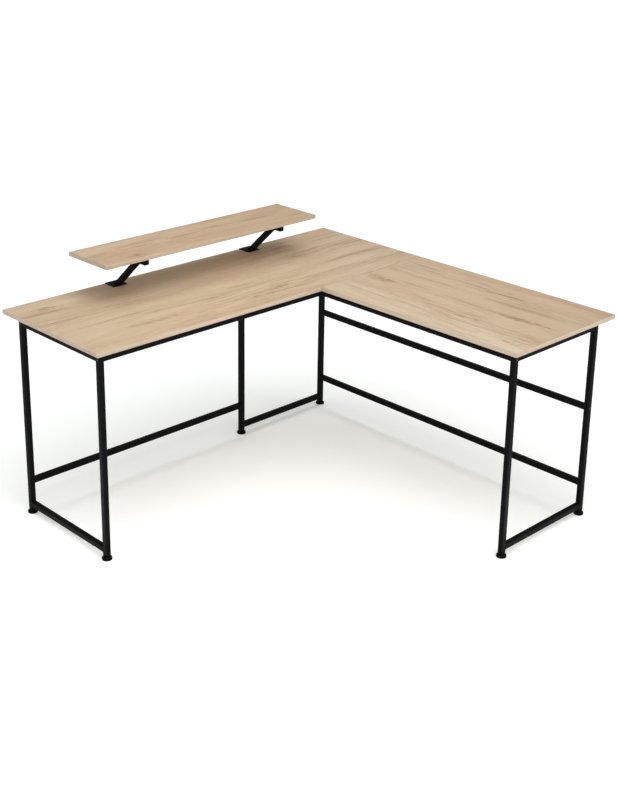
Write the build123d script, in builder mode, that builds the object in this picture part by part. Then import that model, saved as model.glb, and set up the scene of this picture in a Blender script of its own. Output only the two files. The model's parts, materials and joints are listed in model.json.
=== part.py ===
"""Corner desk: two laminate boards on three welded tube frames, with a raised monitor shelf.

Millimetres, +Z up. The origin is on the floor, at the centre of the desk's footprint. +X runs along
the main wing to the corner, +Y points to the back edge, and the sitter's side is -Y. The return wing
runs from the corner towards -Y.
"""
import os

from build123d import *

os.makedirs("parts", exist_ok=True)

# Boards
desk_length = 1560
desk_depth = 1455
desk_height = 750
board_depth = 560
board_thickness = 15
edging_thickness = 1

# Tube frames
tube_size = 20
tube_wall = 1.2
tube_corner = 2
front_inset = 4
end_inset = 8
rear_inset = 86
leg_bottom = 17.5
foot_rail_z = 36
low_stretcher_z = 125
high_stretcher_z = 420

# Monitor shelf and its two brackets
shelf_length = 1010
shelf_depth = 225
shelf_centre_x = 7
shelf_top = 902
bracket_spacing = 654
base_width = 60
base_thickness = 3
strut_foot_y = 42
strut_head_y = 164
arm_rear_gap = 12
arm_front_gap = 5
cap_flange = 3
cap_plug = 8
base_screw_edge = 9
arm_screw_rear = 40
arm_screw_front = 22

# Machine bolts, M6 with button heads, and the threaded blocks that they screw into
bolt_radius = 3
bolt_length = 34
short_bolt_length = 16
bolt_head_radius = 5.5
bolt_head_height = 3.3
hex_key = 4
bolt_hole_radius = 3.25
tip_chamfer = 0.5
tip_length = 1
thread_clearance = 0.05
block_length = 16
plug_gap = 0.05

# Wood screws
screw_radius = 2
screw_head_radius = 4
screw_head_height = 2.4
screw_hole_radius = 2.2
screw_bite = 12
sink_radius = 4.2
cross_slot_width = 0.8
cross_slot_depth = 1.2
screw_end_distance = 150
screw_seam_distance = 90
screw_corner_distance = 200
frame_screw_offset = 120

# Plates
splice_length = 40
splice_height = 18
plate_thickness = 2
seam_plate_width = 40
seam_plate_length = 100
seam_plate_spacing = 220
seam_screw_x = seam_plate_width / 4
seam_screw_y = 0.35 * seam_plate_length

# Levelling feet, M8
pad_radius = 18
pad_face_radius = 16
pad_toe = (17.5, 0.8)
pad_toe_height = 2.2
pad_draft = 0.6
pad_rim = 8
pad_neck_radius = 12.5
pad_height = 14.5
stud_radius = 4
stud_top = 41.5
stud_collar_flats = 13
stud_collar_gap = 0.15
stud_chamfer = 0.8
captive_radius = 6
captive_z = 4
captive_height = 3
foot_clearance = 0.06
insert_height = 20

# Lines that the frame is set out on
left, right = -desk_length / 2, desk_length / 2
front, back = -desk_depth / 2, desk_depth / 2
inner_edge_x = right - board_depth
seam_y = back - board_depth
half = tube_size / 2
x_left = left + end_inset + half
x_middle = inner_edge_x + front_inset + half
x_corner = right - rear_inset - half
y_rear = back - rear_inset - half
y_front = seam_y + front_inset + half
y_end = front + end_inset + half
underside = desk_height - board_thickness
rail_z = underside - half
shelf_underside = shelf_top - board_thickness
arm_z = shelf_underside - half

# What fits inside a tube
bore_size = tube_size - 2 * tube_wall
bore_corner = tube_corner - tube_wall
plug_size = bore_size - 2 * plug_gap
plug_corner = bore_corner

along_x, along_y, along_z = Vector(1, 0, 0), Vector(0, 1, 0), Vector(0, 0, 1)


def save(part, name):
    """Labels a finished part and writes its STEP file."""
    part.label = name
    export_step(part, f"parts/{name}.step")


def drill(radius, holes):
    """Cuts a hole through both walls of a tube at each (centre, direction), in the part being built."""
    for centre, direction in holes:
        with Locations(Plane(origin=centre, z_dir=direction).location):
            Cylinder(radius, 1.5 * tube_size, mode=Mode.SUBTRACT)


def square_tube(start, end, bolt_holes=(), screw_holes=()):
    """A hollow square tube between two points on its centre line."""
    run = end - start
    side = along_y if abs(run.X) > half else along_x
    with BuildPart() as tube:
        with BuildSketch(Plane(origin=start, x_dir=side, z_dir=run)):
            RectangleRounded(tube_size, tube_size, tube_corner)
            RectangleRounded(bore_size, bore_size, bore_corner, mode=Mode.SUBTRACT)
        extrude(amount=run.length)
        drill(bolt_hole_radius, bolt_holes)
        drill(screw_hole_radius, screw_holes)
    return tube.part


def board(name, x_span, y_span, top, screws_from_below, screws_from_above=()):
    """A chipboard panel and its edging, with pilot holes for the screws."""
    length, depth = x_span[1] - x_span[0], y_span[1] - y_span[0]
    centre = (sum(x_span) / 2, sum(y_span) / 2)
    core = (length - 2 * edging_thickness, depth - 2 * edging_thickness)
    base = Plane.XY.offset(top - board_thickness)
    with BuildPart() as panel:
        with BuildSketch(base):
            with Locations(centre):
                Rectangle(*core)
        extrude(amount=board_thickness)
        with Locations(*[(x, y, top - board_thickness) for x, y in screws_from_below]):
            Cylinder(screw_radius, 2 * screw_bite, mode=Mode.SUBTRACT)
        if screws_from_above:
            with Locations(*[(x, y, top) for x, y in screws_from_above]):
                Cylinder(screw_radius, 2 * screw_bite, mode=Mode.SUBTRACT)
    with BuildPart() as band:
        with BuildSketch(base):
            with Locations(centre):
                Rectangle(length, depth)
                Rectangle(*core, mode=Mode.SUBTRACT)
        extrude(amount=board_thickness)
    save(panel.part, name)
    save(band.part, f"{name}_edging")


def headed_screw(radius, length, head_radius, head_height, socket):
    """A domed fastener whose head sits under the XY plane and whose shank runs up +Z from it."""
    rim_height = 0.2 * head_height
    with BuildPart() as screw:
        with BuildSketch(Plane.XZ):
            with BuildLine():
                Polyline((0, length), (radius - tip_chamfer, length), (radius, length - tip_length), (radius, 0),
                         (head_radius, 0), (head_radius, -rim_height))
                TangentArc((0, -head_height), (head_radius, -rim_height), tangent=(1, 0))
                Line((0, -head_height), (0, length))
            make_face()
        revolve(axis=Axis.Z)
        with BuildSketch(Plane.XY.offset(-head_height)):
            RegularPolygon(socket / 2, 6, major_radius=False)
        extrude(amount=0.6 * head_height, mode=Mode.SUBTRACT)
    return screw.part


def sunk_screw(radius, length, head_radius):
    """A countersunk screw whose flat head is flush with the XY plane and whose shank runs down -Z."""
    with BuildPart() as screw:
        with BuildSketch(Plane.XZ):
            with BuildLine():
                Polyline((0, 0), (head_radius, 0), (radius, radius - head_radius), (radius, tip_length - length),
                         (radius - tip_chamfer, -length), (0, -length), close=True)
            make_face()
        revolve(axis=Axis.Z)
        with BuildSketch():
            Rectangle(head_radius, cross_slot_width)
            Rectangle(cross_slot_width, head_radius)
        extrude(amount=-cross_slot_depth, mode=Mode.SUBTRACT)
    return screw.part


def group(name, piece, places):
    """One node that holds a copy of the piece at every place."""
    with BuildPart() as copies:
        with Locations(*places):
            add(piece)
    save(copies.part, name)


# Long rails and stretchers: name, the centres of the tubes at its two ends, and its height.
legs = {
    "front_left_leg": (x_left, y_front),
    "rear_left_leg": (x_left, y_rear),
    "rear_middle_leg": (x_middle, y_rear),
    "corner_leg": (x_corner, y_rear),
    "return_inner_leg": (x_middle, y_end),
    "return_outer_leg": (x_corner, y_end),
}
inner_corner = (x_middle, y_front)
members = {
    "main_front_rail": (legs["front_left_leg"], inner_corner, rail_z),
    "main_rear_rail": (legs["rear_left_leg"], legs["rear_middle_leg"], rail_z),
    "return_inner_rail": (legs["return_inner_leg"], legs["rear_middle_leg"], rail_z),
    "return_outer_rail": (legs["return_outer_leg"], legs["corner_leg"], rail_z),
    "main_low_stretcher": (legs["rear_left_leg"], legs["rear_middle_leg"], low_stretcher_z),
    "return_low_stretcher": (legs["return_outer_leg"], legs["corner_leg"], low_stretcher_z),
    "return_high_stretcher": (legs["return_outer_leg"], legs["corner_leg"], high_stretcher_z),
}
frame_rails = {
    "left_frame": (legs["front_left_leg"], legs["rear_left_leg"]),
    "corner_frame": (legs["rear_middle_leg"], legs["corner_leg"]),
    "return_frame": (legs["return_inner_leg"], legs["return_outer_leg"]),
}

# Where the wood screws rise through the rails, as (x, y).
main_screw_x = (x_left + screw_end_distance, (x_left + x_middle) / 2, x_middle - screw_end_distance)
return_screw_y = (y_end + screw_end_distance, (y_end + seam_y) / 2, seam_y - screw_seam_distance,
                  y_rear - screw_corner_distance)
left_screw_y = [(y_front + y_rear) / 2 + sign * frame_screw_offset for sign in (-1, 1)]
return_screw_x = [(x_middle + x_corner) / 2 + sign * frame_screw_offset for sign in (-1, 1)]
rail_screws = {
    "main_front_rail": [(x, y_front) for x in main_screw_x],
    "main_rear_rail": [(x, y_rear) for x in main_screw_x],
    "return_inner_rail": [(x_middle, y) for y in return_screw_y],
    "return_outer_rail": [(x_corner, y) for y in return_screw_y],
    "left_frame": [(x_left, y) for y in left_screw_y],
    "corner_frame": [(x, y_rear) for x in return_screw_x],
    "return_frame": [(x, y_end) for x in return_screw_x],
}
all_rail_screws = [point for points in rail_screws.values() for point in points]
seam_plate_centres = [((x_middle + x_corner) / 2 + sign * seam_plate_spacing / 2, seam_y) for sign in (-1, 1)]
seam_screws = [
    (x + dx, y + dy)
    for x, y in seam_plate_centres
    for dx in (-seam_screw_x, seam_screw_x)
    for dy in (-seam_screw_y, seam_screw_y)
]

# Brackets
bracket_x = [shelf_centre_x - bracket_spacing / 2, shelf_centre_x + bracket_spacing / 2]
base_screw_offset = base_width / 2 - base_screw_edge
base_centre_y = back - base_width / 2
base_screws = [
    (x + dx * base_screw_offset, base_centre_y + dy * base_screw_offset)
    for x in bracket_x for dx in (-1, 1) for dy in (-1, 1)
]
arm_start_y = back - arm_rear_gap - cap_flange
arm_end_y = back - shelf_depth + arm_front_gap + cap_flange
shelf_screws = [(x, y) for x in bracket_x for y in (arm_start_y - arm_screw_rear, arm_end_y + arm_screw_front)]

# Boards
from_below = all_rail_screws + seam_screws
board("main_top", (left, right), (seam_y, back), desk_height,
      [point for point in from_below if point[1] > seam_y], base_screws)
board("return_top", (inner_edge_x, right), (front, seam_y), desk_height,
      [point for point in from_below if point[1] < seam_y])
board("shelf_board", (shelf_centre_x - shelf_length / 2, shelf_centre_x + shelf_length / 2),
      (back - shelf_depth, back), shelf_top, shelf_screws)

# Every bolt as (seat, direction), and the place of the threaded block that it screws into. The main rear
# rail has no bolt along its axis at the rear middle leg, where the splice plate carries it.
bolt_places, block_places = [], []
leg_holes = {name: [] for name in legs}
splice_bolt_x = x_middle - half - block_length / 2
rear_face_y = y_rear + half
for name, (start, end, z) in members.items():
    start_point, end_point = Vector(*start, z), Vector(*end, z)
    run = (end_point - start_point).normalized()
    for tube_centre, inward in ((start_point, run), (end_point, -run)):
        if name == "main_rear_rail" and inward == -run:
            continue
        block_places.append(Plane(origin=tube_centre + inward * half, z_dir=inward).location)
        at_splice = name == "return_inner_rail" and inward == -run
        seat = tube_centre - inward * (half + (plate_thickness if at_splice else 0))
        bolt_places.append((seat, inward))
        for leg, centre in legs.items():
            if (tube_centre - Vector(*centre, z)).length < half:
                leg_holes[leg].append((tube_centre, inward))

# Legs
for name, (x, y) in legs.items():
    save(square_tube(Vector(x, y, leg_bottom), Vector(x, y, underside), leg_holes[name]), name)

# Long rails and stretchers
cross_holes = {
    "return_inner_rail": [(Vector(*inner_corner, rail_z), along_x)],
    "main_rear_rail": [(Vector(splice_bolt_x, y_rear + half, rail_z), along_y)],
}
for name, (start, end, z) in members.items():
    start_point, end_point = Vector(*start, z), Vector(*end, z)
    reach = (end_point - start_point).normalized() * half
    screw_holes = [(Vector(x, y, z), along_z) for x, y in rail_screws.get(name, [])]
    rail = square_tube(start_point + reach, end_point - reach, cross_holes.get(name, []), screw_holes)
    save(rail, name)

# Top and bottom rails of the three welded frames
for name, (start, end) in frame_rails.items():
    for level, z in (("top", rail_z), ("foot", foot_rail_z)):
        start_point, end_point = Vector(*start, z), Vector(*end, z)
        reach = (end_point - start_point).normalized() * half
        screw_holes = [(Vector(x, y, z), along_z) for x, y in rail_screws[name]] if level == "top" else []
        save(square_tube(start_point + reach, end_point - reach, screw_holes=screw_holes), f"{name}_{level}_rail")

# Threaded blocks in the ends of the long rails and stretchers. The one at the splice is drilled across.
with BuildPart() as end_block:
    with BuildSketch():
        RectangleRounded(plug_size, plug_size, plug_corner)
        Circle(bolt_radius + thread_clearance, mode=Mode.SUBTRACT)
    extrude(amount=block_length)
with BuildPart() as splice_block:
    with BuildSketch():
        RectangleRounded(plug_size, plug_size, plug_corner)
    extrude(amount=block_length)
    with Locations(Plane(origin=(0, 0, block_length / 2), z_dir=along_x).location):
        Cylinder(bolt_radius + thread_clearance, tube_size, mode=Mode.SUBTRACT)
group("rail_end_blocks", end_block.part, block_places)
splice_block_face = Vector(x_middle - half - block_length, y_rear, rail_z)
group("splice_block", splice_block.part,
      [Plane(origin=splice_block_face, x_dir=along_y, z_dir=along_x).location])

# Bolts
frame_bolt = headed_screw(bolt_radius, bolt_length, bolt_head_radius, bolt_head_height, hex_key)
group("frame_bolts", frame_bolt, [Plane(origin=seat, z_dir=run).location for seat, run in bolt_places])
short_bolt = headed_screw(bolt_radius, short_bolt_length, bolt_head_radius, bolt_head_height, hex_key)
splice_seat = Vector(splice_bolt_x, rear_face_y + plate_thickness, rail_z)
group("splice_bolt", short_bolt, [Plane(origin=splice_seat, z_dir=-along_y).location])

# Splice plate that carries the main rear rail on the rear middle leg
with BuildPart() as splice_plate:
    with BuildSketch(Plane(origin=(x_middle + half, rear_face_y, rail_z), x_dir=(-1, 0, 0), z_dir=(0, 1, 0))):
        with Locations((splice_length / 2, 0)):
            RectangleRounded(splice_length, splice_height, tube_corner)
        with Locations((half, 0), (tube_size + block_length / 2, 0)):
            Circle(bolt_hole_radius, mode=Mode.SUBTRACT)
    extrude(amount=plate_thickness)
save(splice_plate.part, "splice_plate")

# Plates across the seam between the two boards
with BuildPart() as seam_plates:
    with BuildSketch(Plane.XY.offset(underside - plate_thickness)):
        with Locations(*seam_plate_centres):
            RectangleRounded(seam_plate_width, seam_plate_length, 2 * tube_corner)
        with Locations(*seam_screws):
            Circle(screw_hole_radius, mode=Mode.SUBTRACT)
    extrude(amount=plate_thickness)
save(seam_plates.part, "seam_plates")

# Wood screws under the boards
rail_screw = headed_screw(screw_radius, tube_size + screw_bite, screw_head_radius, screw_head_height, hex_key / 2)
group("rail_screws", rail_screw, [(x, y, underside - tube_size) for x, y in all_rail_screws])
plate_screw = headed_screw(screw_radius, plate_thickness + screw_bite, screw_head_radius, screw_head_height,
                           hex_key / 2)
group("seam_screws", plate_screw, [(x, y, underside - plate_thickness) for x, y in seam_screws])
group("shelf_screws", rail_screw, [(x, y, shelf_underside - tube_size) for x, y in shelf_screws])
base_screw = sunk_screw(screw_radius, base_thickness + screw_bite, screw_head_radius)
group("bracket_screws", base_screw, [(x, y, desk_height + base_thickness) for x, y in base_screws])

# Shelf brackets: a base plate on the board, a leaning strut, and an arm under the shelf
strut_foot_z = desk_height + base_thickness
strut_head_z = arm_z - half
for side, x in zip(("left", "right"), bracket_x):
    with BuildPart() as base_plate:
        with BuildSketch(Plane.XY.offset(desk_height)):
            with Locations((x, base_centre_y)):
                RectangleRounded(base_width, base_width, 2 * tube_corner)
        extrude(amount=base_thickness)
        with Locations(*[(sx, sy, strut_foot_z) for sx, sy in base_screws if abs(sx - x) < base_width]):
            CounterSinkHole(screw_hole_radius, sink_radius, base_thickness)
    save(base_plate.part, f"{side}_bracket_base")

    lean = Vector(0, strut_foot_y - strut_head_y, strut_head_z - strut_foot_z).normalized()
    foot = Vector(x, back - strut_foot_y, strut_foot_z)
    head = Vector(x, back - strut_head_y, strut_head_z)
    with BuildPart() as strut:
        add(square_tube(foot - lean * tube_size, head + lean * tube_size))
        split(bisect_by=Plane.XY.offset(strut_foot_z), keep=Keep.TOP)
        split(bisect_by=Plane.XY.offset(strut_head_z), keep=Keep.BOTTOM)
    save(strut.part, f"{side}_bracket_strut")

    arm_screws = [(Vector(sx, sy, arm_z), along_z) for sx, sy in shelf_screws if sx == x]
    arm = square_tube(Vector(x, arm_start_y, arm_z), Vector(x, arm_end_y, arm_z), screw_holes=arm_screws)
    save(arm, f"{side}_bracket_arm")

# Plastic caps in the ends of the arms
with BuildPart() as arm_cap:
    with BuildSketch(Plane.XZ):
        RectangleRounded(tube_size, tube_size, tube_corner)
    extrude(amount=cap_flange)
    with BuildSketch(Plane.XZ):
        RectangleRounded(plug_size, plug_size, plug_corner)
    extrude(amount=-cap_plug)
group("arm_caps", arm_cap.part,
      [Location((x, arm_end_y, arm_z)) for x in bracket_x]
      + [Location((x, arm_start_y, arm_z), (0, 0, 180)) for x in bracket_x])

# Threaded inserts in the bottoms of the legs
with BuildPart() as leg_insert:
    with BuildSketch(Plane.XY.offset(leg_bottom)):
        RectangleRounded(plug_size, plug_size, plug_corner)
        Circle(stud_radius + foot_clearance, mode=Mode.SUBTRACT)
    extrude(amount=insert_height)
group("leg_inserts", leg_insert.part, [(x, y, 0) for x, y in legs.values()])

# Levelling foot: a plastic pad, and a steel stud that turns in it and screws into the leg
with BuildPart() as pad:
    with BuildSketch(Plane.XZ):
        with BuildLine():
            Line((0, 0), (pad_face_radius, 0))
            toe = ThreePointArc((pad_face_radius, 0), pad_toe, (pad_radius, pad_toe_height))
            wall = Line(toe @ 1, (pad_radius - pad_draft, pad_rim))
            flare = TangentArc(wall @ 1, (pad_neck_radius, pad_height), tangent=(-1, 0.28))
            Polyline(flare @ 1, (0, pad_height), (0, 0))
        make_face()
    revolve(axis=Axis.Z)
    with Locations((0, 0, captive_z - foot_clearance)):
        Cylinder(captive_radius + foot_clearance, captive_height + 2 * foot_clearance,
                 align=(Align.CENTER, Align.CENTER, Align.MIN), mode=Mode.SUBTRACT)
    with Locations((0, 0, pad_height)):
        Cylinder(stud_radius + foot_clearance, 2 * (pad_height - captive_z), mode=Mode.SUBTRACT)

collar_base = pad_height + stud_collar_gap
collar_height = leg_bottom - collar_base - stud_collar_gap
with BuildPart() as stud:
    with Locations((0, 0, captive_z)):
        Cylinder(captive_radius, captive_height, align=(Align.CENTER, Align.CENTER, Align.MIN))
        Cylinder(stud_radius, stud_top - captive_z, align=(Align.CENTER, Align.CENTER, Align.MIN))
    with BuildSketch(Plane.XY.offset(collar_base)):
        RegularPolygon(stud_collar_flats / 2, 6, major_radius=False)
    extrude(amount=collar_height)
    chamfer(stud.edges().filter_by(GeomType.CIRCLE).sort_by(Axis.Z)[-1], stud_chamfer)

for name, (x, y) in legs.items():
    foot_name = name.replace("_leg", "")
    save(pad.part.moved(Location((x, y, 0))), f"{foot_name}_foot_pad")
    save(stud.part.moved(Location((x, y, 0))), f"{foot_name}_foot_stud")
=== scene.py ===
import json
import math

import bpy
from mathutils import Matrix, Vector


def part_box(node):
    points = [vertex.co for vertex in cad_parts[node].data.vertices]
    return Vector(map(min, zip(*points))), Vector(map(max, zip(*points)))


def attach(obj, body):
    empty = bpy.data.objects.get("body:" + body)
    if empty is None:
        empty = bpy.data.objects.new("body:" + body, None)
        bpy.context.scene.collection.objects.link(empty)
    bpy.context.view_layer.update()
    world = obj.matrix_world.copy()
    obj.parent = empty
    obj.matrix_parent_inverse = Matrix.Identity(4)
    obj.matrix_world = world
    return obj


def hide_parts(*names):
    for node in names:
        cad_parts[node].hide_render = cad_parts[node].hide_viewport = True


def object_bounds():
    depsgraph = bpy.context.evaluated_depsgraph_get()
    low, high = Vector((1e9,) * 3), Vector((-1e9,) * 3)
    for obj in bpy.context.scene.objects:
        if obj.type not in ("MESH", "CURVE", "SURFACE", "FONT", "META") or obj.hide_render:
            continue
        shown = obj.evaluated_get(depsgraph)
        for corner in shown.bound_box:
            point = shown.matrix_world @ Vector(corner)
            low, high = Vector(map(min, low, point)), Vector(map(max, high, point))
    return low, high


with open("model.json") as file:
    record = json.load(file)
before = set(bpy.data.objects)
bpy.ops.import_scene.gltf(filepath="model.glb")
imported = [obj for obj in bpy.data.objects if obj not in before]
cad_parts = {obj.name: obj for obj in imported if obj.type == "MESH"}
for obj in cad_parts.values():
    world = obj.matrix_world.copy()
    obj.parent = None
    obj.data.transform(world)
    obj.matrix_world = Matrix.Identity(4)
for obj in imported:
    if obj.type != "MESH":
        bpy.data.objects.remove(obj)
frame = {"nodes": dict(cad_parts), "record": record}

cad_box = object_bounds()
mm = 0.001
scene = bpy.context.scene
nodes = frame["nodes"]
desk_low, desk_high = cad_box
desk_centre = (desk_low + desk_high) / 2

# ---------------------------------------------------------------- camera

camera_azimuth = 44.40
camera_elevation = 23.12
camera_distance = 4.737
look_yaw = 44.31
look_pitch = 18.33
look_roll = 0.9
lens = 59.85
shift_up = -0.15
sensor_width = 36
view_limit = 200


def direction(azimuth, elevation):
    """The unit vector that points along an azimuth from +Y towards +X, and up by an elevation."""
    a, e = math.radians(azimuth), math.radians(elevation)
    return Vector((math.sin(a) * math.cos(e), math.cos(a) * math.cos(e), math.sin(e)))


def make_camera():
    """A camera that stands off from the desk's centre and looks a little above it."""
    data = bpy.data.cameras.new("view_camera")
    camera = bpy.data.objects.new("view_camera", data)
    scene.collection.objects.link(camera)
    forward = direction(look_yaw, -look_pitch)
    level_right = Vector((forward.y, -forward.x, 0)).normalized()
    level_up = level_right.cross(forward)
    roll = math.radians(look_roll)
    right = level_right * math.cos(roll) + level_up * math.sin(roll)
    up = level_up * math.cos(roll) - level_right * math.sin(roll)
    turn = Matrix((right, up, -forward)).transposed()
    place = desk_centre - direction(camera_azimuth, -camera_elevation) * camera_distance
    camera.matrix_world = Matrix.Translation(place) @ turn.to_4x4()
    data.sensor_width = sensor_width
    data.lens = lens
    data.shift_y = shift_up
    data.clip_end = view_limit
    scene.camera = camera


# ---------------------------------------------------------------- shader nodes

class Net:
    """A node tree, with short calls that add a node and wire its inputs."""

    def __init__(self, tree):
        self.tree = tree

    def wire(self, socket, value):
        """Links a socket to another node's output, or sets it to a number, vector or colour."""
        if isinstance(value, bpy.types.NodeSocket):
            self.tree.links.new(value, socket)
        else:
            socket.default_value = value

    def node(self, kind, settings=(), **inputs):
        """Adds a node. Each input is named by its label, or as i0, i1 and so on by its number."""
        made = self.tree.nodes.new("ShaderNode" + kind)
        for key, value in dict(settings).items():
            setattr(made, key, value)
        for key, value in inputs.items():
            by_number = key[0] == "i" and key[1:].isdigit()
            self.wire(made.inputs[int(key[1:]) if by_number else key], value)
        return made

    def math(self, operation, a, b=0.0, c=0.0):
        """The number that one Math node gives."""
        return self.node("Math", {"operation": operation}, i0=a, i1=b, i2=c).outputs[0]

    def vector(self, operation, a, **others):
        """A Vector Math node."""
        return self.node("VectorMath", {"operation": operation}, i0=a, **others)

    def noise(self, vector, scale, detail, roughness):
        """Fractal noise, from 0 to 1."""
        made = self.node("TexNoise", Vector=vector, Scale=scale, Detail=detail, Roughness=roughness)
        return made.outputs["Fac"]

    def remap(self, value, low, high, to_low=0.0, to_high=1.0):
        """Eases from one number to the other as the value goes from low to high."""
        made = self.node("MapRange", {"interpolation_type": "SMOOTHSTEP"}, Value=value)
        for key, number in (("From Min", low), ("From Max", high), ("To Min", to_low), ("To Max", to_high)):
            made.inputs[key].default_value = number
        return made.outputs["Result"]

    def stretch(self, vector, scale, offset=(0, 0, 0)):
        """The vector scaled, and then shifted."""
        return self.node("Mapping", Vector=vector, Scale=scale, Location=offset).outputs["Vector"]

    def mix(self, factor, a, b, blend="MIX"):
        """Colour a, and by the factor colour b blended into it."""
        made = self.node("Mix", {"data_type": "RGBA", "blend_type": blend}, Factor=factor)
        self.wire(made.inputs["A"], a)
        self.wire(made.inputs["B"], b)
        return made.outputs["Result"]

    def ramp(self, value, stops):
        """The colour at a value between stops, each (value, colour)."""
        made = self.node("ValToRGB", Fac=value)
        ramp = made.color_ramp
        while len(ramp.elements) < len(stops):
            ramp.elements.new(0.5)
        for element, (place, colour) in zip(ramp.elements, stops):
            element.position = place
            element.color = (*colour, 1)
        return made.outputs["Color"]


class Finish(Net):
    """A new material's node tree, round its one Principled shader."""

    def __init__(self, name):
        self.material = bpy.data.materials.new(name)
        self.material.use_nodes = True
        super().__init__(self.material.node_tree)
        self.shader = self.tree.nodes["Principled BSDF"]

    def set(self, **sockets):
        """Wires the shader's sockets, each named by its label with _ for a space."""
        for key, value in sockets.items():
            self.wire(self.shader.inputs[key.replace("_", " ")], value)

    def place(self):
        """Position in metres."""
        return self.node("TexCoord").outputs["Object"]

    def bump(self, height, distance, strength):
        """Shades the surface as if it rose by the height times the distance, in metres."""
        made = self.node("Bump", Height=height, Distance=distance, Strength=strength)
        self.wire(self.shader.inputs["Normal"], made.outputs["Normal"])


def srgb(*levels):
    """An 8-bit display colour as linear light."""
    shares = [level / 255 for level in levels]
    return tuple(c / 12.92 if c <= 0.04045 else ((c + 0.055) / 1.055) ** 2.4 for c in shares)


# ---------------------------------------------------------------- floor and light

# Each panel: the direction it lies in, the cosines where it starts and is full, its strength and its tint.
# The last is the band at the horizon. Its direction is straight up, so it is full where the cosine is small,
# above the level and below it alike.
sky_base = (0.275, 0.270, 0.262)
sky_panels = (
    (direction(200, 86), 0.72, 0.95, 1.66, (0.985, 1.000, 1.010)),
    (direction(185, 15), 0.30, 0.95, 0.86, (1.090, 0.985, 0.880)),
    ((0.0, 0.0, 1.0), 0.24, 0.08, 0.74, (1.020, 1.000, 0.985)),
)

room_lamp_place = Vector((desk_low.x + 0.36, desk_low.y + 0.28, desk_high.z + 1.0))
room_lamp_target = desk_centre + Vector((0.0, 0.1, 0.3))
room_lamp_size = 0.9
room_lamp_power = 9
floor_lamp_spots = {
    "left_floor_lamp": Vector((desk_low.x - 0.42, 0.40, 0)),
    "end_floor_lamp": Vector((0.46, desk_low.y - 0.42, 0)),
}
floor_lamp_height = 0.45
floor_lamp_size = 0.4
floor_lamp_power = 3.6
floor_lamp_spread = 80

floor_half = 40.0
floor_gap = 0.2 * mm
floor_colour = (0.955, 0.97, 0.985, 1)
floor_glow_colour = (0.86, 1.0, 1.0, 1)
floor_glow = 0.17


def area_light(name, place, target, size, power, spread=180):
    """A soft square lamp that faces a target, unseen by the camera itself."""
    data = bpy.data.lights.new(name, "AREA")
    data.shape = "RECTANGLE"
    data.size = size
    data.size_y = size
    data.energy = power
    data.spread = math.radians(spread)
    lamp = bpy.data.objects.new(name, data)
    lamp.location = place
    lamp.rotation_mode = "QUATERNION"
    lamp.rotation_quaternion = (place - target).to_track_quat("Z", "Y")
    lamp.visible_camera = False
    scene.collection.objects.link(lamp)


def make_sky():
    """Studio surroundings as soft panels of light: overhead, in front, and a pale band at the horizon."""
    world = bpy.data.worlds.new("studio")
    scene.world = world
    world.use_nodes = True
    net = Net(world.node_tree)
    look = net.node("TexCoord").outputs["Generated"]
    light = net.node("CombineXYZ", **dict(zip("XYZ", sky_base))).outputs["Vector"]
    for towards, edge, full, strength, tint in sky_panels:
        facing = net.vector("DOT_PRODUCT", look, i1=towards).outputs["Value"]
        if edge > full:
            facing = net.math("ABSOLUTE", facing)
        amount = net.remap(facing, edge, full, 0.0, strength)
        glow = net.vector("SCALE", tint, Scale=amount).outputs["Vector"]
        light = net.vector("ADD", light, i1=glow).outputs["Vector"]
    background = world.node_tree.nodes["Background"]
    background.inputs["Strength"].default_value = 1.0
    net.wire(background.inputs["Color"], light)


def make_light():
    """Soft panels all round, a lamp over the room side of the L, and two over the floor beyond its ends."""
    make_sky()
    area_light("room_lamp", room_lamp_place, room_lamp_target, room_lamp_size, room_lamp_power)
    for name, spot in floor_lamp_spots.items():
        above = spot + Vector((0, 0, floor_lamp_height))
        area_light(name, above, spot, floor_lamp_size, floor_lamp_power, floor_lamp_spread)
    scene.view_settings.view_transform = "Standard"
    scene.view_settings.exposure = 0.0


def make_floor():
    """A plain pale floor just under the feet, with a faint glow of its own so that it looks white."""
    mesh = bpy.data.meshes.new("floor")
    corners = [(x * floor_half, y * floor_half, 0) for x, y in ((-1, -1), (1, -1), (1, 1), (-1, 1))]
    mesh.from_pydata(corners, [], [(0, 1, 2, 3)])
    floor = bpy.data.objects.new("floor", mesh)
    scene.collection.objects.link(floor)
    floor.location.z = desk_low.z - floor_gap
    pale = Finish("pale_floor")
    pale.set(Base_Color=floor_colour, Roughness=0.9, Specular_IOR_Level=0.1)
    pale.set(Emission_Color=floor_glow_colour, Emission_Strength=floor_glow)
    mesh.materials.append(pale.material)


# ---------------------------------------------------------------- oak laminate

oak_dark = srgb(146, 121, 95)
oak_low = srgb(174, 151, 124)
oak_mid = srgb(188, 168, 141)
oak_light = srgb(198, 181, 156)
oak_warm = srgb(181, 153, 127)
figure_brown = srgb(126, 99, 75)
edge_low = srgb(170, 150, 127)
edge_mid = srgb(184, 168, 146)
edge_light = srgb(194, 180, 160)
warm_tint = (0.965, 0.923, 0.909)
pale_tint = (1.035, 1.094, 1.146)

grain_wander = 0.07
figure_slant = math.radians(24)
patch_core = 0.35
patch_edge = 1.1
curl_count = 52.0
board_tone = 0.63
blush_share = 0.22
heart_share = 0.3
pore_share = 0.20
edge_tone = 0.56
edge_band_strength = 0.7
edge_streak_strength = 0.6

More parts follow.
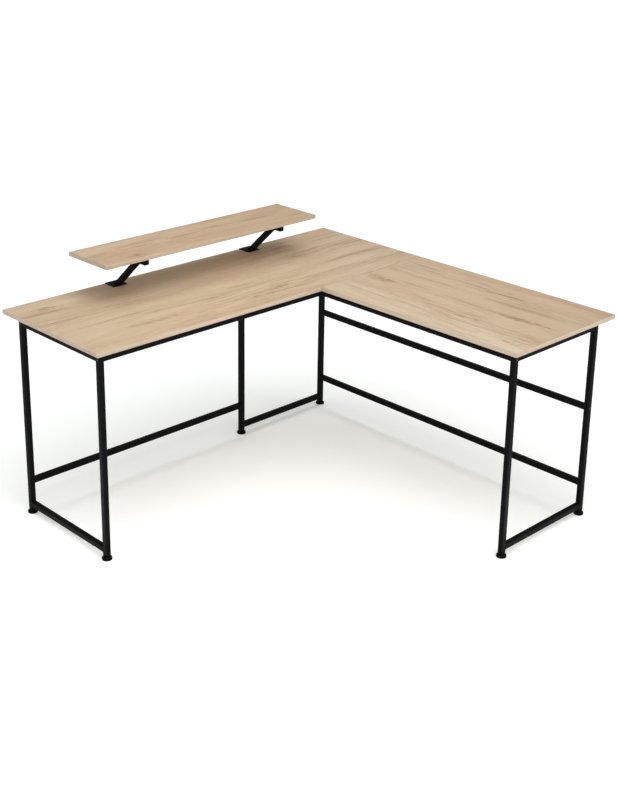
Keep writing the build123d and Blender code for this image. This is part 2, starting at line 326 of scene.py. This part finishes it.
# Each board's print holds, in order:
#   its material, the way its grain runs, and how far it is shifted through the pattern, in metres
#   its ovals of knotty figure, then those of darker streaks, each (along, across, length, width)
#   its drifts of tone, each (where across the grain it starts, where it is full, tint); on the shelf, painted
#   shade
board_prints = {
    "main_top": (
        "oak_main", "X", (0.0, 0.0, 0.0),
        ((-0.66, 0.64, 0.16, 0.06), (-0.46, 0.29, 0.36, 0.045), (0.00, 0.25, 0.20, 0.05),
         (0.12, 0.28, 0.16, 0.04)),
        ((-0.70, 0.605, 0.24, 0.022), (0.68, 0.617, 0.28, 0.030), (-0.56, 0.394, 0.40, 0.024),
         (0.00, 0.394, 0.20, 0.018), (0.55, 0.388, 0.30, 0.026), (0.38, 0.293, 0.42, 0.022)),
        ()),
    "return_top": (
        "oak_return", "Y", (4.0, 2.0, 0.0),
        ((4.10, 2.465, 0.18, 0.08), (3.45, 2.485, 0.30, 0.04), (3.33, 2.29, 0.14, 0.04)),
        ((3.52, 2.577, 0.44, 0.036), (3.60, 2.485, 0.52, 0.032), (3.95, 2.493, 0.20, 0.020),
         (3.82, 2.316, 0.26, 0.020), (4.06, 2.700, 0.26, 0.024), (3.80, 2.700, 0.16, 0.018)),
        ((2.68, 2.74, warm_tint), (2.50, 2.16, pale_tint))),
    "shelf_board": (
        "oak_shelf", "X", (9.0, 5.0, 0.0),
        ((8.66, 5.54, 0.10, 0.05),),
        ((8.56, 5.632, 0.16, 0.022), (8.75, 5.648, 0.28, 0.026), (8.94, 5.622, 0.24, 0.022),
         (9.10, 5.637, 0.20, 0.020), (9.28, 5.627, 0.18, 0.022), (9.37, 5.519, 0.34, 0.020)),
        # Painted shade: this drift covers the whole shelf, making it darker and warmer than the other boards
        # as if it got less light.
        ((5.0, 5.1, warm_tint),)),
}


def grain_coordinates(net, along, offset):
    """Position in metres as (along the grain, across it, depth), wandering a little as grain does."""
    x, y, z = net.node("SeparateXYZ", Vector=net.place()).outputs
    u, v = (x, y) if along == "X" else (y, x)
    straight = net.node("CombineXYZ", X=u, Y=v, Z=z).outputs[0]
    straight = net.stretch(straight, (1, 1, 1), offset)
    wander = net.noise(net.stretch(straight, (1.1, 3.0, 1.0)), 1.0, 2.0, 0.5)
    shift = net.math("MULTIPLY_ADD", wander, grain_wander, -grain_wander / 2)
    sideways = net.node("CombineXYZ", Y=shift).outputs[0]
    return net.vector("ADD", straight, i1=sideways).outputs[0]


def patch_mask(net, place, patches):
    """From 1 in the middle of oval patches to 0 round them, each (along, across, length, width)."""
    total = None
    for u, v, length, width in patches:
        away = net.vector("SUBTRACT", place, i1=(u, v, 0)).outputs[0]
        flat = net.stretch(away, (2 / length, 2 / width, 0.0))
        distance = net.vector("LENGTH", flat).outputs["Value"]
        near = net.remap(distance, patch_core, patch_edge, 1.0, 0.0)
        total = near if total is None else net.math("MAXIMUM", total, near)
    return total


def oak_laminate(name, along, offset, figure, streaked, drifts_and_shade):
    """Printed oak under matt melamine: soft bands, streaks, feathery figure, fibres and pores."""
    net = Finish(name)
    place = grain_coordinates(net, along, offset)
    slant = net.node("Mapping", Vector=place, Rotation=(0, 0, figure_slant)).outputs["Vector"]
    near = patch_mask(net, place, figure)
    dark = patch_mask(net, place, streaked)

    def grain(run, across, detail, roughness, shift=(0, 0, 0), depth=1.0, on=place):
        """Noise from 0 to 1, with so many features to a metre along the grain, across it and in depth."""
        return net.noise(net.stretch(on, (run, across, depth), shift), 1.0, detail, roughness)

    def centred(field):
        return net.math("SUBTRACT", field, 0.5)

    def times(a, b):
        return net.math("MULTIPLY", a, b)

    def at_least(a, b):
        return net.math("MAXIMUM", a, b)

    bands = grain(0.55, 15.0, 2.0, 0.55)
    clouds = grain(2.4, 11.0, 2.0, 0.5, (3, 7, 0))
    busy = net.remap(grain(1.7, 11.0, 1.0, 0.5, (8, 1, 0)), 0.40, 0.60)
    streaks = grain(6.5, 120.0, 5.0, 0.66)
    fibres = grain(14.0, 620.0, 2.0, 0.6, depth=4.0)
    flecks = net.remap(grain(30.0, 150.0, 2.0, 0.55, (2, 6, 0), on=slant), 0.47, 0.62)
    mottle = grain(45.0, 85.0, 2.0, 0.6, (7, 4, 0))
    lines = net.remap(grain(3.2, 110.0, 3.0, 0.65, (5, 2, 0)), 0.57, 0.68)
    hearts = net.remap(grain(5.0, 24.0, 2.0, 0.5, (11, 3, 0)), 0.58, 0.68)
    knots = grain(8.0, 46.0, 3.0, 0.55, (6, 8, 0), on=slant)
    curls = net.remap(net.math("SINE", times(knots, curl_count)), 0.25, 1.0)
    blush = net.remap(grain(1.1, 7.0, 2.0, 0.5, (2, 9, 0)), 0.38, 0.68)
    pores = net.remap(grain(38.0, 900.0, 1.0, 0.5, depth=6.0), 0.62, 0.72)

    # Each layer of the print, and how much it lightens the tone, or darkens it where that is negative.
    layers = (
        (centred(bands), 0.80),
        (centred(clouds), 0.55),
        (times(centred(streaks), at_least(busy, 0.40)), 1.90),
        (centred(fibres), 0.18),
        (centred(mottle), 0.34),
        (times(lines, at_least(busy, 0.35)), -0.38),
        (times(flecks, at_least(near, times(busy, 0.22))), -0.42),
        (times(curls, near), -0.36),
        (times(net.remap(streaks, 0.30, 0.70, 0.15, 1.0), dark), -0.44),
    )
    tone = board_tone
    for layer, strength in layers:
        tone = net.math("MULTIPLY_ADD", layer, strength, tone)
    colour = net.ramp(tone, ((0.05, oak_dark), (0.36, oak_low), (0.62, oak_mid), (0.95, oak_light)))
    colour = net.mix(times(blush, blush_share), colour, (*oak_warm, 1))
    side = net.node("SeparateXYZ", Vector=place).outputs["Y"]
    # Each drift multiplies the colour by its tint; on the shelf it is painted shade over the whole board.
    for start, full, tint in drifts_and_shade:
        colour = net.mix(net.remap(side, start, full), colour, (*tint, 1), "MULTIPLY")
    colour = net.mix(times(times(hearts, near), heart_share), colour, (*figure_brown, 1))
    colour = net.mix(times(pores, pore_share), colour, (*oak_dark, 1))
    net.set(Base_Color=colour, Roughness=net.remap(streaks, 0.2, 0.8, 0.52, 0.62), Specular_IOR_Level=0.25)
    net.bump(net.math("SUBTRACT", fibres, pores), 0.06 * mm, 0.5)
    return net.material


def oak_edge_band(name):
    """The edge band: the same oak print, with its grain along whichever side it covers."""
    net = Finish(name)
    x, y, z = net.node("SeparateXYZ", Vector=net.place()).outputs
    facing = net.node("SeparateXYZ", Vector=net.node("NewGeometry").outputs["True Normal"])
    sideways = net.math("GREATER_THAN", net.math("ABSOLUTE", facing.outputs["X"]), 0.6)
    along = net.node("Mix", {"data_type": "FLOAT"}, Factor=sideways)
    net.wire(along.inputs["A"], x)
    net.wire(along.inputs["B"], y)
    run = net.node("CombineXYZ", X=along.outputs["Result"], Y=z, Z=sideways).outputs[0]
    streaks = net.noise(net.stretch(run, (3.0, 260.0, 9.0)), 1.0, 3.0, 0.6)
    bands = net.noise(net.stretch(run, (1.2, 70.0, 5.0)), 1.0, 2.0, 0.5)
    tone = net.math("MULTIPLY_ADD", net.math("SUBTRACT", bands, 0.5), edge_band_strength, edge_tone)
    tone = net.math("MULTIPLY_ADD", net.math("SUBTRACT", streaks, 0.5), edge_streak_strength, tone)
    colour = net.ramp(tone, ((0.05, oak_dark), (0.36, edge_low), (0.60, edge_mid), (0.92, edge_light)))
    net.set(Base_Color=colour, Roughness=net.remap(streaks, 0.2, 0.8, 0.42, 0.52), Specular_IOR_Level=0.4)
    net.bump(streaks, 0.05 * mm, 0.4)
    return net.material


# ---------------------------------------------------------------- metal and plastic

coat_dark = srgb(9, 9, 9)
coat_light = srgb(13, 13, 14)
stain_level = 0.72
sheen_level = 1.5

# How wide an arris is softened on each material slot, at edges sharper than the angle.
arris_width = {"oak_edging": 0.5 * mm, "black_frame": 0.3 * mm}
arris_angle = 50


def powder_coat():
    """Black polyester powder coat: fine orange peel and grit, over faint clouds of tone and gloss."""
    net = Finish("black_powder_coat")
    place = net.place()
    peel = net.noise(place, 850.0, 2.0, 0.6)
    grit = net.noise(place, 2600.0, 2.0, 0.6)
    cloud = net.noise(place, 9.0, 3.0, 0.6)
    gloss = net.remap(cloud, 0.3, 0.7, 0.50, 0.60)
    colour = net.ramp(cloud, ((0.3, coat_dark), (0.7, coat_light)))
    net.set(Base_Color=colour, Roughness=gloss, Specular_IOR_Level=0.045)
    net.bump(net.math("MULTIPLY_ADD", grit, 0.35, peel), 0.10 * mm, 0.35)
    return net.material


def steel(name, colour, roughness, scratch_scale):
    """Plated or oxidised steel with fine turning marks and faint stains."""
    net = Finish(name)
    place = net.place()
    marks = net.noise(net.stretch(place, (1.0, 1.0, 9.0)), scratch_scale, 3.0, 0.6)
    stain = net.noise(place, 60.0, 2.0, 0.5)
    stained = tuple(stain_level * c for c in colour)
    gloss = net.remap(marks, 0.3, 0.7, roughness - 0.06, roughness + 0.08)
    tone = net.ramp(stain, ((0.3, stained), (0.7, colour)))
    net.set(Base_Color=tone, Roughness=gloss, Metallic=1.0)
    net.bump(marks, 0.02 * mm, 0.4)
    return net.material


def moulded_plastic(name, colour):
    """Black moulded plastic with a fine spark-eroded grain."""
    net = Finish(name)
    place = net.place()
    grain = net.noise(place, 1400.0, 2.0, 0.6)
    cloud = net.noise(place, 40.0, 2.0, 0.5)
    sheen = tuple(sheen_level * c for c in colour)
    gloss = net.remap(cloud, 0.3, 0.7, 0.46, 0.56)
    tone = net.ramp(cloud, ((0.3, colour), (0.7, sheen)))
    net.set(Base_Color=tone, Roughness=gloss, Specular_IOR_Level=0.04)
    net.bump(grain, 0.04 * mm, 0.5)
    return net.material


def finish_cad():
    """Gives every CAD node its material, and softens the arrises of the edge bands and the black frame."""
    by_slot = {
        "black_frame": powder_coat(),
        "black_bolt": steel("black_oxide", (0.035, 0.035, 0.038), 0.42, 900.0),
        "screw_steel": steel("bright_zinc", (0.56, 0.56, 0.55), 0.34, 1200.0),
        "block_steel": steel("bare_steel", (0.40, 0.40, 0.40), 0.45, 700.0),
        "stud_steel": steel("stud_zinc", (0.50, 0.50, 0.49), 0.38, 1200.0),
        "foot_plastic": moulded_plastic("foot_plastic", (0.0018, 0.0018, 0.0018)),
        "cap_plastic": moulded_plastic("cap_plastic", (0.0032, 0.0032, 0.0032)),
        "oak_edging": oak_edge_band("oak_edge_band"),
    }
    boards = {name: oak_laminate(*details) for name, details in board_prints.items()}
    slots = {entry["node"]: entry["material_slot"] for entry in frame["record"]["subparts"]}
    for name, piece in nodes.items():
        material = boards.get(name) or by_slot[slots[name]]
        piece.data.materials.clear()
        piece.data.materials.append(material)
        if slots[name] in arris_width:
            soften = piece.modifiers.new("arris", "BEVEL")
            soften.width = arris_width[slots[name]]
            soften.segments = 2
            soften.limit_method = "ANGLE"
            soften.angle_limit = math.radians(arris_angle)
    return by_slot


# ---------------------------------------------------------------- new pieces

def new_piece(name, vertices, faces, material, body, smooth_angle):
    """A mesh that rides on a body, shaded smooth where its faces meet at less than an angle."""
    mesh = bpy.data.meshes.new(name)
    mesh.from_pydata(vertices, [], faces)
    mesh.materials.append(material)
    mesh.shade_smooth()
    mesh.set_sharp_from_angle(angle=math.radians(smooth_angle))
    piece = bpy.data.objects.new(name, mesh)
    scene.collection.objects.link(piece)
    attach(piece, body)
    return piece


def rings_to_faces(first, rings, sides):
    """Quads between stacked rings of vertices, and a flat cap at each end."""
    faces = []
    for ring in range(rings - 1):
        for side in range(sides):
            low, high = first + ring * sides, first + (ring + 1) * sides
            across = (side + 1) % sides
            faces.append((low + side, low + across, high + across, high + side))
    faces.append(tuple(reversed(range(first, first + sides))))
    last = first + (rings - 1) * sides
    faces.append(tuple(range(last, last + sides)))
    return faces


# ---------------------------------------------------------------- welds

tube_flat = 15 * mm
strut_footprint = 29.3 * mm
strut_corner = 2 * mm

bead_radius = 1.9 * mm
bead_ripple = 2.2 * mm
ripple_height = 0.12
bead_tip = 0.35
bead_swell = 6
bead_sides = 10
rings_to_ripple = 5
fewest_rings = 8
bead_smooth_angle = 40


def add_bead(vertices, faces, start, end):
    """A closed, rippled weld bead between two points, thin at both ends."""
    run = (end - start).normalized()
    side = run.orthogonal().normalized()
    other = run.cross(side)
    length = (end - start).length
    rings = max(fewest_rings, round(length / bead_ripple) * rings_to_ripple)
    first = len(vertices)
    for ring in range(rings + 1):
        part = ring / rings
        taper = min(1.0, bead_tip + bead_swell * min(part, 1 - part))
        ripple = 1 + ripple_height * abs(math.sin(math.pi * part * length / bead_ripple))
        radius = bead_radius * taper * ripple
        centre = start + (end - start) * part
        for step in range(bead_sides):
            angle = math.tau * step / bead_sides
            vertices.append(centre + (side * math.cos(angle) + other * math.sin(angle)) * radius)
    faces.extend(rings_to_faces(first, rings + 1, bead_sides))


def frame_welds(name, rails, material):
    """Beads where each rail's ends meet the legs: under both rails, and on top of the foot rail."""
    vertices, faces = [], []
    for rail in rails:
        low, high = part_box(rail)
        run = 0 if high.x - low.x > high.y - low.y else 1
        across = 1 - run
        centre = (low + high) / 2
        levels = [low.z] if rail.endswith("top_rail") else [low.z, high.z]
        for end in (low[run], high[run]):
            for level in levels:
                start = Vector((0, 0, level))
                start[run] = end
                finish = start.copy()
                start[across] = centre[across] - tube_flat / 2
                finish[across] = centre[across] + tube_flat / 2
                add_bead(vertices, faces, start, finish)
    new_piece(name, vertices, faces, material, "desk", bead_smooth_angle)


def bracket_welds(name, strut, material):
    """Beads round the foot of a strut on its base plate, and round its head under the arm."""
    low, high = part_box(strut)
    middle = (low.x + high.x) / 2
    vertices, faces = [], []
    spans = ((low.z, high.y - strut_footprint, high.y), (high.z, low.y, low.y + strut_footprint))
    for level, near, far in spans:
        for x in (low.x, high.x):
            start = Vector((x, near + strut_corner, level))
            add_bead(vertices, faces, start, Vector((x, far - strut_corner, level)))
        for y in (near, far):
            start = Vector((middle - tube_flat / 2, y, level))
            add_bead(vertices, faces, start, Vector((middle + tube_flat / 2, y, level)))
    new_piece(name, vertices, faces, material, "desk", bead_smooth_angle)


# ---------------------------------------------------------------- threaded studs

thread_radius = 3.98 * mm
thread_depth = 0.62 * mm
thread_pitch = 1.25 * mm
thread_below_leg = 0.6 * mm
thread_steps = 8
stud_sides = 32
stud_smooth_angle = 30

# The ridge rises and falls once a pitch, as a triangle wave times the steepness, less the root. It is cut off
# flat at the root and at the crest.
thread_steepness = 2.4
thread_root = 0.5

collar_flats = 6.5 * mm
collar_gap = 0.15 * mm
collar_corner_cut = 0.75 * mm
collar_lip = 0.45 * mm
collar_sides = 48

button_radius = 5.9 * mm
button_height = 2.8 * mm
neck_radius = 3.9 * mm
neck_start = 3.0 * mm
neck_overlap = 0.2 * mm


def add_stack(vertices, faces, axis, heights, sides, radius):
    """A closed stack of rings round an upright axis. Radius is a function of the ring and of the turn."""
    x, y = axis
    first = len(vertices)
    for ring, height in enumerate(heights):
        for side in range(sides):
            turn = side / sides
            angle = math.tau * turn
            reach = radius(ring, turn)
            vertices.append((x + reach * math.cos(angle), y + reach * math.sin(angle), height))
    faces.extend(rings_to_faces(first, len(heights), sides))


def add_thread(vertices, faces, axis, bottom, top):
    """A thread whose ridge climbs a pitch with each turn, and runs out at both ends."""
    heights = []
    height = bottom
    while height < top:
        heights.append(height)
        height += thread_pitch / thread_steps

    def radius(ring, turn):
        near_end = min(heights[ring] - bottom, top - heights[ring])
        depth_here = min(1.0, near_end / thread_pitch)
        phase = (heights[ring] / thread_pitch - turn) % 1
        ridge = min(1.0, max(0.0, thread_steepness * (1 - abs(2 * phase - 1)) - thread_root))
        return thread_radius - thread_depth * (1 - ridge * depth_here)

    add_stack(vertices, faces, axis, heights, stud_sides, radius)


def add_collar(vertices, faces, axis, bottom, top):
    """A hexagonal collar with its corners turned off at the top and the bottom."""
    corner = collar_flats / math.cos(math.radians(30))
    limits = (corner - collar_corner_cut, corner, corner, corner - collar_corner_cut)
    heights = (bottom, bottom + collar_lip, top - collar_lip, top)

    def radius(ring, turn):
        from_flat = (360 * turn) % 60 - 30
        return min(limits[ring], collar_flats / math.cos(math.radians(from_flat)))

    add_stack(vertices, faces, axis, heights, collar_sides, radius)


def add_button(vertices, faces, axis, bottom, collar_bottom):
    """The button that turns in the pad, and the neck that joins it to the collar."""
    radii = (button_radius, button_radius, neck_radius, neck_radius)
    heights = (bottom, bottom + button_height, bottom + neck_start, collar_bottom + neck_overlap)
    add_stack(vertices, faces, axis, heights, stud_sides, lambda ring, turn: radii[ring])


def threaded_stud(foot, material):
    """The levelling stud: its thread, its hexagonal collar and the button that turns in the pad."""
    node = f"{foot}_foot_stud"
    low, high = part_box(node)
    pad_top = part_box(f"{foot}_foot_pad")[1].z
    leg_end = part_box(f"{foot}_leg")[0].z
    axis = ((low.x + high.x) / 2, (low.y + high.y) / 2)
    collar_bottom = pad_top + collar_gap
    vertices, faces = [], []
    add_thread(vertices, faces, axis, leg_end - thread_below_leg, high.z)
    add_collar(vertices, faces, axis, collar_bottom, leg_end - collar_gap)
    add_button(vertices, faces, axis, low.z, collar_bottom)
    name, body = f"{foot}_threaded_stud", f"{foot}_stud"
    piece = new_piece(name, vertices, faces, material, body, stud_smooth_angle)
    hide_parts(node)


def add_details(coat, zinc):
    """The pieces finer than the CAD: the welds, and a threaded stud in each foot."""
    for frame_name in ("left_frame", "corner_frame", "return_frame"):
        frame_welds(f"{frame_name}_welds", (f"{frame_name}_top_rail", f"{frame_name}_foot_rail"), coat)
    for side in ("left", "right"):
        bracket_welds(f"{side}_bracket_welds", f"{side}_bracket_strut", coat)
    for foot in ("front_left", "rear_left", "rear_middle", "corner", "return_inner", "return_outer"):
        threaded_stud(foot, zinc)


make_camera()
make_light()
make_floor()
finishes = finish_cad()
add_details(finishes["black_frame"], finishes["stud_steel"])
